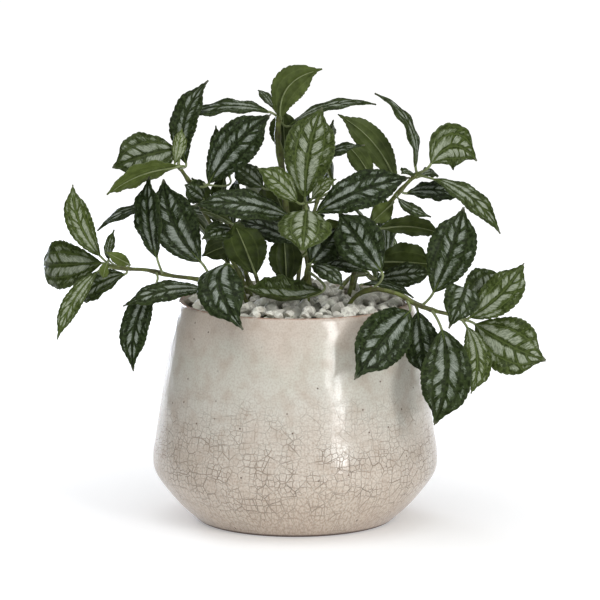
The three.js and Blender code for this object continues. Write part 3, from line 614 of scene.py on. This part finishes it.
def leaf_face():
    """The upper face: a dark green blade, quilted, satin, with silver raised between the midrib
    and the side veins, in long streaks at the base and in patches towards the tip. Young blades
    are yellower, with silver that covers more of them."""
    made, tree = material("silvered leaf face")
    across, along, age, apart, spot = blade_places(tree)
    parts = add(tree, "SeparateXYZ", {0: spot})
    aside = add(tree, "Math", {0: parts}, operation="ABSOLUTE")
    flecks, mottling, patches = [
        add(tree, "TexNoise", {"Vector": spot, "Scale": 1 / size, "Detail": detail})
        for size, detail in ((0.9, 2), (2.2, 3), (7.5, 1))]

    # cross veins leave the midrib at a slant, and the silver is ragged along a slant too
    slant = add(tree, "Math", {0: across, 1: -CROSS_SLANT, 2: along}, operation="MULTIPLY_ADD")
    shift = add(tree, "Math", {0: parts.outputs["Z"], 1: LEAF_SHIFT / LEAF_SPACING},
                operation="MULTIPLY")
    beat = add(tree, "Math", {0: slant, 1: CROSS_VEINS, 2: shift}, operation="MULTIPLY_ADD")
    step = add(tree, "Math", {0: beat, 1: 0.5}, operation="PINGPONG")
    back = add(tree, "Math", {0: aside, 1: -STREAK_SLANT, 2: parts.outputs["Y"]},
               operation="MULTIPLY_ADD")
    streaks = add(tree, "VectorMath", {
        0: add(tree, "CombineXYZ", {0: parts, 1: back, 2: parts.outputs["Z"]}),
        1: (1 / STREAK_LENGTH, 1 / STREAK_WIDTH, 1)}, operation="MULTIPLY")
    comb = add(tree, "TexNoise", {"Vector": streaks, "Scale": 1, "Detail": 3})
    crinkles = add(tree, "TexVoronoi", {"Vector": streaks, "Scale": 0.9, "Randomness": 0.9},
                   feature="DISTANCE_TO_EDGE")

    # what each mark reads, from where to where, and its strength at either end
    marks = {name: add(tree, "MapRange", {0: read, 1: low, 2: high, 3: first, 4: last}, **SMOOTH)
             for name, read, low, high, first, last in (
                 ("midrib", aside, 0.2, 0.7, 1, 0),
                 ("side veins", apart, 0.01, 0.035, 1, 0),
                 ("cross veins", step, 0.01, 0.05, 0.6, 0),
                 ("stalk end", along, 0.02, 0.2, 1, 0),
                 ("gaps", step, 0.07, 0.2, 1, 0),
                 ("tip half", along, 0.4, 0.52, 0, 1),
                 ("creases", crinkles, 0.02, 0.16, 0.5, 0),
                 ("mottle", mottling, 0.35, 0.65, 0, 1),
                 ("margin", across, 0.93, 0.99, 0, 0.55),
                 ("dry tip", along, 0.94, 0.99, 0, 0.7))}

    level = add(tree, "ValToRGB", {0: across}, stops=[
        (0.06, 0.0), (0.15, 0.9), (0.3, 1.0), (0.45, 0.55), (0.53, 0.0), (0.6, 0.3), (0.72, 0.6),
        (0.88, 0.0)])
    ends = add(tree, "ValToRGB", {0: along}, stops=[(0.03, 0.6), (0.13, 0.0), (0.8, 0.05), (0.95, 0.6)])
    gaps = add(tree, "Math", {0: marks["gaps"], 1: marks["tip half"]}, operation="MULTIPLY")
    for part, weight in ((comb, 1), (patches, 1.5), (flecks, 0.7), (gaps, -0.9), (ends, -1), (age, 0.3)):
        level = add(tree, "Math", {0: part, 1: weight, 2: level}, operation="MULTIPLY_ADD")
    silver = add(tree, "MapRange", {0: level, 1: 2.13, 2: 2.27}, **SMOOTH)
    polish = add(tree, "MapRange", {0: level, 1: 2.26, 2: 2.7}, **SMOOTH)

    # each tone goes from that of a grown blade to that of a young one
    dark, green, dull, bright, creased, margin = [
        add(tree, "Mix", {0: age, 6: colour(grown), 7: colour(young)}, data_type="RGBA")
        for grown, young in (("#161e0b", "#343f17"), ("#333f24", "#4f5c2a"), ("#545e4e", "#6c764e"),
                             ("#8a9288", "#9ca488"), ("#333b2c", "#485633"), ("#3a4528", "#76825c"))]
    # the three main veins are dark grooves that pale where they join at the stalk
    pale = add(tree, "Math", {0: marks["stalk end"], 1: age}, operation="MAXIMUM")
    line = add(tree, "Mix", {0: pale, 6: colour("#1a210f"), 7: colour("#65753f")}, data_type="RGBA")
    veins = add(tree, "Math", {0: marks["midrib"], 1: marks["side veins"]}, operation="MAXIMUM")
    veins = add(tree, "Math", {0: veins, 1: marks["cross veins"]}, operation="MAXIMUM")
    veins = add(tree, "Math", {0: veins, 1: 0.75}, operation="MULTIPLY")
    tone, metal = dark, dull
    for share, over in ((polish, bright), (marks["creases"], creased)):
        metal = add(tree, "Mix", {0: share, 6: metal, 7: over}, data_type="RGBA")
    for share, over in ((marks["mottle"], green), (veins, line), (silver, metal),
                        (marks["margin"], margin), (marks["dry tip"], colour("#6f6f60"))):
        tone = add(tree, "Mix", {0: share, 6: tone, 7: over}, data_type="RGBA")

    grain = add(tree, "Math", {0: flecks, 1: silver}, operation="ADD")
    relief = add(tree, "Bump", {"Height": grain, "Strength": 0.5, "Distance": 0.2 * MM})
    rough = add(tree, "MapRange", {0: silver, 3: 0.4, 4: 0.5})
    sheen = add(tree, "Math", {0: silver, 1: 0.12}, operation="MULTIPLY")
    surface = add(tree, "BsdfPrincipled", {
        "Base Color": tone, "Roughness": rough, "IOR": 1.45, "Specular IOR Level": 0.1,
        "Sheen Weight": sheen, "Sheen Roughness": 0.35, "Normal": relief})
    add(tree, "OutputMaterial", {"Surface": surface})
    return made


def leaf_back():
    """The underside: plain olive green, duller, with slightly paler veins and a fine net."""
    made, tree = material("leaf underside")
    _, _, age, apart, spot = blade_places(tree)
    clouds = add(tree, "TexNoise", {"Vector": spot, "Scale": 1 / 6, "Detail": 3})
    old, young = [
        add(tree, "ValToRGB", {0: clouds}, stops=[(0.32, colour(dark)), (0.68, colour(light))])
        for dark, light in (("#2b3614", "#3f4c20"), ("#4a5624", "#5f6d35"))]
    tone = add(tree, "Mix", {0: age, 6: old, 7: young}, data_type="RGBA")
    veins = add(tree, "MapRange", {0: apart, 1: 0.01, 2: 0.05, 3: 0.3, 4: 0})
    tone = add(tree, "Mix", {0: veins, 6: tone, 7: colour("#66733f")}, data_type="RGBA")
    net = add(tree, "TexVoronoi", {"Vector": spot, "Scale": 1 / 2.2}, feature="DISTANCE_TO_EDGE")
    relief = add(tree, "Bump", {"Height": net, "Strength": 0.35, "Distance": 0.3 * MM})
    surface = add(tree, "BsdfPrincipled", {
        "Base Color": tone, "Roughness": 0.5, "IOR": 1.45, "Specular IOR Level": 0.25, "Normal": relief})
    add(tree, "OutputMaterial", {"Surface": surface})
    return made


def green_bark(name, low, high, size):
    """The skin of a stem or leaf stalk: green, smooth, browner in streaks."""
    made, tree = material(name)
    place = add(tree, "TexCoord").outputs["Object"]
    streaks = add(tree, "TexNoise", {"Vector": place, "Scale": 1 / (size * MM), "Detail": 3})
    tone = add(tree, "ValToRGB", {0: streaks}, stops=[(0.35, colour(low)), (0.65, colour(high))])
    relief = add(tree, "Bump", {"Height": streaks, "Strength": 0.3, "Distance": 0.3 * MM})
    surface = add(tree, "BsdfPrincipled", {
        "Base Color": tone, "Roughness": 0.45, "IOR": 1.45, "Normal": relief})
    add(tree, "OutputMaterial", {"Surface": surface})
    return made


# ---------------- pot, soil and chips
POT_OUTSIDE = [
    (0, 0), (62, 0), (68.6, 0), (70.6, 1.1), (74.4, 4.6), (79.7, 9.3), (86.4, 16.2), (93.2, 24.6),
    (97.7, 30.8), (100, 35.2), (101.1, 39), (SHOULDER_RADIUS, 43.5), (101, 50), (99.2, 61),
    (96.1, 82), (92.7, 104), (89.2, 126), (85.8, 145), (84.2, 151), (83.4, 154.4), (82.4, 156.4),
    (RIM_RADIUS, POT_HEIGHT)]
POT_INSIDE = [(79.6, 156.6), (78.2, 155), (77.4, 152), (77.4, 149), (80.0, 136), (86, 104),
              (93.4, 60), (93.8, 46), (90, 37), (71, 13), (66, 8), (40, 8), (0, 8)]
SECTION_STEPS = 4  # between two points of the wall
WALL_SLOPE = (0.35, 1.02)  # how fast the glaze's pattern runs down the wall, outwards and upwards
UNEVENNESS = 0.0025  # as a share of the radius
DENTS = [(46, 0.7), (19, 0.25)]  # how wide the wall's uneven places are, and the share of each


def pot():
    """Thrown by spinning its wall's section, then softened by the small unevenness of a hand."""
    section = Curve([Vector((r, 0, z)) for r, z in POT_OUTSIDE + POT_INSIDE])
    steps = SECTION_STEPS * (len(section.points) - 1)
    bm = bmesh.new()
    line = [bm.verts.new(section(i / steps)) for i in range(steps + 1)]
    edges = [bm.edges.new(pair) for pair in zip(line, line[1:])]
    bmesh.ops.spin(bm, geom=line + edges, cent=(0, 0, 0), axis=(0, 0, 1), angle=2 * math.pi,
                   steps=POT_STEPS, use_merge=True)
    bmesh.ops.remove_doubles(bm, verts=bm.verts, dist=0.01)
    uv = bm.loops.layers.uv.new("wall_mm")
    for face in bm.faces:
        middle = math.atan2(face.calc_center_median().x, -face.calc_center_median().y)
        for loop in face.loops:
            angle = math.atan2(loop.vert.co.x, -loop.vert.co.y)
            angle += 2 * math.pi * round((middle - angle) / (2 * math.pi))
            outside = math.hypot(loop.vert.co.x, loop.vert.co.y)
            loop[uv].uv = (angle * SHOULDER_RADIUS,
                           loop.vert.co.z * WALL_SLOPE[1] - outside * WALL_SLOPE[0])
    for vert in bm.verts:
        uneven = sum(noise.noise(vert.co / size) * share for size, share in DENTS)
        inward = 1 - UNEVENNESS * (0.5 + 0.5 * uneven) * smoothstep(vert.co.z, 2, 20)
        vert.co.x *= inward
        vert.co.y *= inward
    to_metres(bm)
    piece("glazed_pot", bm, [crackle_glaze()], "pot")


CHIP_SIZES = [(13, 21), (7.5, 12)]  # the stones, then the small ones that fill their gaps
CHIP_TRIES = 2600  # of each
CHIP_REACH = 76.8  # how far from the axis a chip's side may lie
CHIP_CROWDING = 1.15  # above 1, more of them lie against the pot's wall
CHIP_CUTS = 9
CHIP_CUT_DEPTH = (0.5, 0.32)  # the least distance of a cut from a chip's middle, and its range
CHIP_BREADTH = (0.72, 0.24)  # the least breadth of a chip, as a share of its length, and its range
CHIP_HEIGHT = (0.55, 0.2)
CHIP_ROUGHNESS = 0.16  # how uneven it is, as a share of its size
CHIP_GRAIN = 3
CHIP_TILT = 0.5
BED_TOP = 162.5  # how high the top of a chip may lie in the middle
BED_FALL = 3  # and how much lower at the wall
GRAVEL_TOP = 168
ROOT_HEIGHT = 155  # where the stems come up through the chips
ROOT_STEPS = 60
# shares of half a chip's size: how far its side reaches, its middle lies over the soil and its
# top lies over its middle, how close it lies to a stem and to a chip beside it, and how much
# higher the next one lies
CHIP_WAIST = 0.85
CHIP_UNDERSIDE = 0.6
CHIP_CROWN = 0.4
CHIP_STEM_GAP = 0.9
CHIP_NESTING = 0.86
CHIP_STACKING = 0.56


def chip(bm, place, size, draw):
    """A broken stone: rough, with flats and worn corners."""
    made = bmesh.ops.create_icosphere(bm, subdivisions=2, radius=size / 2)["verts"]
    stretch = Vector((1, CHIP_BREADTH[0] + CHIP_BREADTH[1] * draw(),
                      CHIP_HEIGHT[0] + CHIP_HEIGHT[1] * draw()))
    flats = []
    for _ in range(CHIP_CUTS):
        way = Vector((draw() - 0.5, draw() - 0.5, draw() - 0.5)).normalized()
        flats.append((way, size / 2 * (CHIP_CUT_DEPTH[0] + CHIP_CUT_DEPTH[1] * draw())))
    turn = Quaternion(Vector((draw() - 0.5, draw() - 0.5, 0)).normalized(), CHIP_TILT * draw())
    turn = turn @ Quaternion((0, 0, 1), 2 * math.pi * draw())
    for vert in made:
        for way, reach in flats:
            over = vert.co.dot(way) - reach
            if over > 0:
                vert.co -= way * over
        vert.co *= 1 + CHIP_ROUGHNESS * noise.noise((vert.co + place) / CHIP_GRAIN)
        vert.co = turn @ (vert.co * stretch) + place
        vert.co.z = min(vert.co.z, GRAVEL_TOP)


def chips(roots):
    """Chips dropped one by one, each resting on those below it, clear of the stems' roots."""
    draw = drawer(SEED)
    bm = bmesh.new()
    lying = []
    for small, large in [sizes for sizes in CHIP_SIZES for _ in range(CHIP_TRIES)]:
        size = small + (large - small) * draw()
        half = size / 2
        r = (CHIP_REACH - half * CHIP_WAIST) * min(1, CHIP_CROWDING * math.sqrt(draw()))
        angle = 2 * math.pi * draw()
        x, y = r * math.cos(angle), r * math.sin(angle)
        z = SOIL_TOP + half * CHIP_UNDERSIDE
        for other_x, other_y, other_z, other_half in lying:
            both = half + other_half
            apart = math.hypot(x - other_x, y - other_y) / (both * CHIP_NESTING)
            if apart < 1:
                z = max(z, other_z + math.sqrt(1 - apart * apart) * both * CHIP_STACKING)
        if z + half * CHIP_CROWN > BED_TOP - BED_FALL * (r / CHIP_REACH) ** 2:
            continue
        clear = half * CHIP_STEM_GAP + STEM_RADIUS
        if any(math.hypot(x - root.x, y - root.y) < clear for root in roots):
            continue
        lying.append((x, y, z, half))
        chip(bm, Vector((x, y, z)), size, draw)
    to_metres(bm)
    piece("marble_chips", bm, [marble()], "gravel", smooth=False)


def soil():
    """The soil is the frame's own solid, with its look put on."""
    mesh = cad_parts["soil"].data
    mesh.materials.clear()
    mesh.materials.append(potting_soil())


# ---------------- leaves and stems
TOOTH_PITCH = 4.0
TOOTH_DEPTH = 1.0
TOOTH_RISE = 0.75  # the share of a tooth's length before its point
TOOTH_INSIDE = 0.7  # how much of its depth lies inside the blade's outline, as a share
FULL_TEETH = 12  # half the width from which a blade's teeth are at their full depth
FULL_RELIEF = 14  # and its quilting and ripples at their full height
NARROWEST = 0.5  # half the width that a blade has at its ends
QUILT = 1.05  # how high the blade bulges between its veins
GROOVE = 0.5
GROOVE_WIDTH = 0.9
RIPPLE = 1.1  # how far the margin waves up and down
RIPPLES = 3.3
RIPPLE_SHIFT = (0.21, 0.4)  # of a leaf against the one before, and of a side against the other
STALK_STEPS = 9
RIB_STEPS = 16
RIB_END = 0.9  # how far along the blade the rib reaches, as a share
STEM_STEPS = 10  # between two points of a stem
NODE_STEPS = 2.2  # how many of them a node's swelling takes up, to either side
BLADE_ROW = 0.8
BLADE_COLUMN = 1.4
EDGE_THINNING = 0.55  # how much thinner the blade is at its margin, as a share


def placed(point):
    """A point as seen by the viewer, moved along the line of sight to where it lies."""
    x, y, z = point
    share = (VIEW_DISTANCE + y) / VIEW_DISTANCE
    return Vector((VIEW_X + (x - VIEW_X) * share, y, VIEW_HEIGHT + (z - VIEW_HEIGHT) * share))


def outline(v):
    """How wide the blade is at v, as a share: an oval drawn out to a point at its tip."""
    oval = math.sin(math.pi * v ** 1.04) ** 0.75 if 0 < v < 1 else 0
    return max(oval * (1 - 0.5 * smoothstep(v, 0.74, 0.95)), 0.045)


class Leaf:
    """A blade and its stalk. Places on the blade are u, from -1 to 1 across it, and v, from 0 at
    its base to 1 at its tip."""

    def __init__(self, made, number):
        self.number = number
        self.at = made["at"]
        self.base = made["base"]
        line = made["tip"] - made["base"]
        self.length = line.length
        self.axis = line.normalized()
        facing = made["facing"]
        facing = (facing - self.axis * facing.dot(self.axis)).normalized()
        self.facing = Quaternion(self.axis, math.radians(made["turn"])) @ facing
        self.side = self.axis.cross(self.facing)
        self.half = made["width"] / 2
        self.bow, self.sway, self.cup, self.age = made["bow"], made["sway"], made["cup"], made["age"]
        self.thickness = GROWN_THICKNESS + (NEW_THICKNESS - GROWN_THICKNESS) * self.age

    def midrib(self, v):
        """The blade's middle line, arched out of its plane and in it."""
        arch = 4 * v * (1 - v) * self.length
        return (self.base + self.axis * self.length * v + self.facing * self.bow * arch
                + self.side * self.sway * arch)

    def frame(self, v):
        """The ways along the midrib, out of the upper face and across it."""
        slope = 4 * (1 - 2 * v)
        along = (self.axis + self.facing * self.bow * slope + self.side * self.sway * slope).normalized()
        normal = (self.facing - along * self.facing.dot(along)).normalized()
        return along, normal, along.cross(normal)

    def half_width(self, v):
        """Half the blade's width at v, its margin cut in rounded teeth that point to the tip."""
        beat = v * self.length / TOOTH_PITCH % 1
        fall = math.sqrt(TOOTH_RISE) * (1 - beat) / (1 - TOOTH_RISE)
        tooth = math.sqrt(beat) if beat < TOOTH_RISE else fall
        deep = TOOTH_DEPTH * min(1, self.half / FULL_TEETH) * smoothstep(v, 0.06, 0.16)
        return max(self.half * outline(v) + deep * (tooth - TOOTH_INSIDE), NARROWEST)

    def height(self, u, v):
        """How far the upper face stands off the blade's smooth form: quilted between its veins,
        grooved along the midrib and waved at its margin."""
        a = abs(u)
        beat = (v - CROSS_SLANT * a) * CROSS_VEINS + self.number * LEAF_SHIFT
        pad = abs(math.sin(math.pi * beat)) ** 0.6
        inner = math.sin(math.pi * min(a / LATERAL, 1))
        outer = math.sin(math.pi * min(max((a - LATERAL) / (1 - LATERAL), 0), 1))
        fade = smoothstep(v, 0.02, 0.2) * (1 - smoothstep(v, 0.8, 0.98))
        quilt = QUILT * (0.45 + 0.55 * pad) * max(inner, outer * 0.8) * fade
        wave = v * RIPPLES + self.number * RIPPLE_SHIFT[0] + (RIPPLE_SHIFT[1] if u < 0 else 0)
        ripple = RIPPLE * a * a * math.sin(2 * math.pi * wave)
        groove = GROOVE * math.exp(-((a * self.half / GROOVE_WIDTH) ** 2))
        return (quilt + ripple * fade - groove) * min(1, self.half / FULL_RELIEF)

    def point(self, u, v, below=0):
        """Where the blade's upper face is, or a point so far below it."""
        _, normal, across = self.frame(v)
        half = self.half_width(v)
        lift = self.cup * half * u * u + self.height(u, v) + self.thickness / 2 - below
        return self.midrib(v) + across * u * half + normal * lift

    def stalk(self, root):
        """Points and radii from the stem into the blade, then as a rib along its underside."""
        along, _, _ = self.frame(0)
        bend = self.base - along * STALK_SWEEP * (root - self.base).length
        radius = STALK_RADIUS * min(1, 0.55 + self.half / 30)
        path = []
        for i in range(STALK_STEPS):
            t = i / STALK_STEPS
            at = root * (1 - t) ** 2 + bend * 2 * t * (1 - t) + self.base * t * t
            path.append((at, radius * (1.25 - 0.25 * smoothstep(t, 0, 0.3))))
        for i in range(RIB_STEPS + 1):
            v = RIB_END * i / RIB_STEPS
            thin = radius * (1 - 0.75 * (v / RIB_END) ** 0.6)
            _, normal, _ = self.frame(v)
            sunk = self.thickness / 2 + thin * 0.35 if i > 0 else 0
            path.append((self.midrib(v) + normal * (self.height(0, v) - sunk), thin))
        return path

    def grow(self, bm, blade, spot):
        """The blade as a thin closed body: a grid bent to its form, with its underside below it."""
        rows = max(16, min(84, round(self.length / BLADE_ROW)))
        columns = max(8, 2 * round(self.half / BLADE_COLUMN))
        made = bmesh.ops.create_grid(bm, x_segments=columns, y_segments=rows, size=0.5)["verts"]
        upper = list({face for vert in made for face in vert.link_faces})
        for vert in made:
            u, v = vert.co.x * 2, vert.co.y + 0.5
            vert[blade] = (u, v, self.age)
            vert[spot] = (u * self.half_width(v), v * self.length, self.number * LEAF_SPACING)
        grown = bmesh.ops.extrude_face_region(bm, geom=upper)["geom"]
        for vert in made:
            u, v, _ = vert[blade]
            vert.co = self.point(u, v)
        for item in grown:
            if isinstance(item, bmesh.types.BMVert):
                u, v, _ = item[blade]
                thinned = EDGE_THINNING * smoothstep(abs(u), 0.9, 1.0)
                item.co = self.point(u, v, self.thickness * (1 - thinned))
            elif isinstance(item, bmesh.types.BMFace):
                item.material_index = 1


def front_shoot(plan):
    """A shoot of the table, with its points where they lie."""
    leaves = []
    for at, base, tip, width, turn, bow, sway, cup, age in plan["leaves"]:
        lean = LEAN * (tip[2] - base[2]) * math.cos(math.radians(turn))
        leaves.append({"at": at, "base": placed(base), "tip": placed((tip[0], tip[1] + lean, tip[2])),
                       "facing": TO_VIEWER, "width": width, "turn": turn, "bow": bow, "sway": sway,
                       "cup": cup, "age": age})
    return {"radius": plan.get("radius", STEM_RADIUS), "stem": [placed(p) for p in plan["stem"]],
            "leaves": leaves}


def back_shoot(plan, draw):
    """The same shoot swung round the axis to the back of the pot."""
    turned = Matrix.Rotation(math.radians(plan["swung"]), 3, "Z")
    drawn = turned @ Matrix.Diagonal((plan["reach"], plan["reach"], 1))
    down = Vector((0, 0, plan["lowered"]))
    front = front_shoot(SHOOTS[plan["like"]])
    leaves = []
    for i, leaf in enumerate(front["leaves"]):
        if i in plan["without"]:
            continue
        leaves.append({**leaf, "base": drawn @ leaf["base"] - down, "tip": drawn @ leaf["tip"] - down,
                       "facing": turned @ leaf["facing"], "width": leaf["width"] * (0.9 + 0.2 * draw()),
                       "turn": leaf["turn"] + BACK_TURN * (2 * draw() - 1)})
    return {"radius": front["radius"], "stem": [drawn @ p - down for p in front["stem"]],
            "leaves": leaves}


def stem_path(stem, radius, joints):
    """Points and radii of a stem, thicker where leaves leave it and thinner to its tip."""
    steps = STEM_STEPS * (len(stem.points) - 1)
    path = []
    for i in range(steps + 1):
        t = i / steps
        swelling = sum(math.exp(-((t - joint) * steps / NODE_STEPS) ** 2) for joint in joints)
        path.append((stem(t), radius * (1 - STEM_TAPER * t) + NODE_SWELLING * min(1, swelling)))
    return path


def leafy_stem(name, shoot, first, finishes):
    """One stem with its stalks and blades, and the place where it comes up through the chips."""
    stem = Curve(shoot["stem"])
    leaves = [Leaf(made, first + i) for i, made in enumerate(shoot["leaves"])]
    joints = sorted({leaf.at for leaf in leaves})
    bm = bmesh.new()
    stem_mesh = bars([stem_path(stem, shoot["radius"], joints)])
    bm.from_mesh(stem_mesh)
    stem_faces = len(bm.faces)
    stalk_mesh = bars([leaf.stalk(stem(leaf.at)) for leaf in leaves])
    bm.from_mesh(stalk_mesh)
    for i, face in enumerate(bm.faces):
        face.material_index = 2 if i < stem_faces else 3
    bmesh.ops.scale(bm, vec=(1 / MM, 1 / MM, 1 / MM), verts=bm.verts)
    blade = bm.verts.layers.float_vector.new("blade")
    spot = bm.verts.layers.float_vector.new("spot_mm")
    for leaf in leaves:
        leaf.grow(bm, blade, spot)
    to_metres(bm)
    for mesh in (stem_mesh, stalk_mesh):
        bpy.data.meshes.remove(mesh)
    piece(name.replace("shoot", "foliage"), bm, finishes, name)
    places = [stem(i / ROOT_STEPS) for i in range(ROOT_STEPS + 1)]
    return next(place for place in places if place.z > ROOT_HEIGHT)


def foliage():
    """All the leafy stems, and the places where they come up through the chips."""
    finishes = [leaf_face(), leaf_back(), green_bark("green stem", "#4a4a28", "#6b7538", 5),
                green_bark("leaf stalk", "#6f7b4c", "#8a9468", 7)]
    draw = drawer(SEED + 1)
    shoots = {name: front_shoot(plan) for name, plan in SHOOTS.items()}
    shoots.update((name, back_shoot(plan, draw)) for name, plan in BACK_SHOOTS.items())
    roots = []
    number = 0
    for name, shoot in shoots.items():
        roots.append(leafy_stem(name, shoot, number, finishes))
        number += len(shoot["leaves"])
    return roots


camera()
lights()
paper_floor()
pot()
soil()
roots = foliage()
chips(roots)
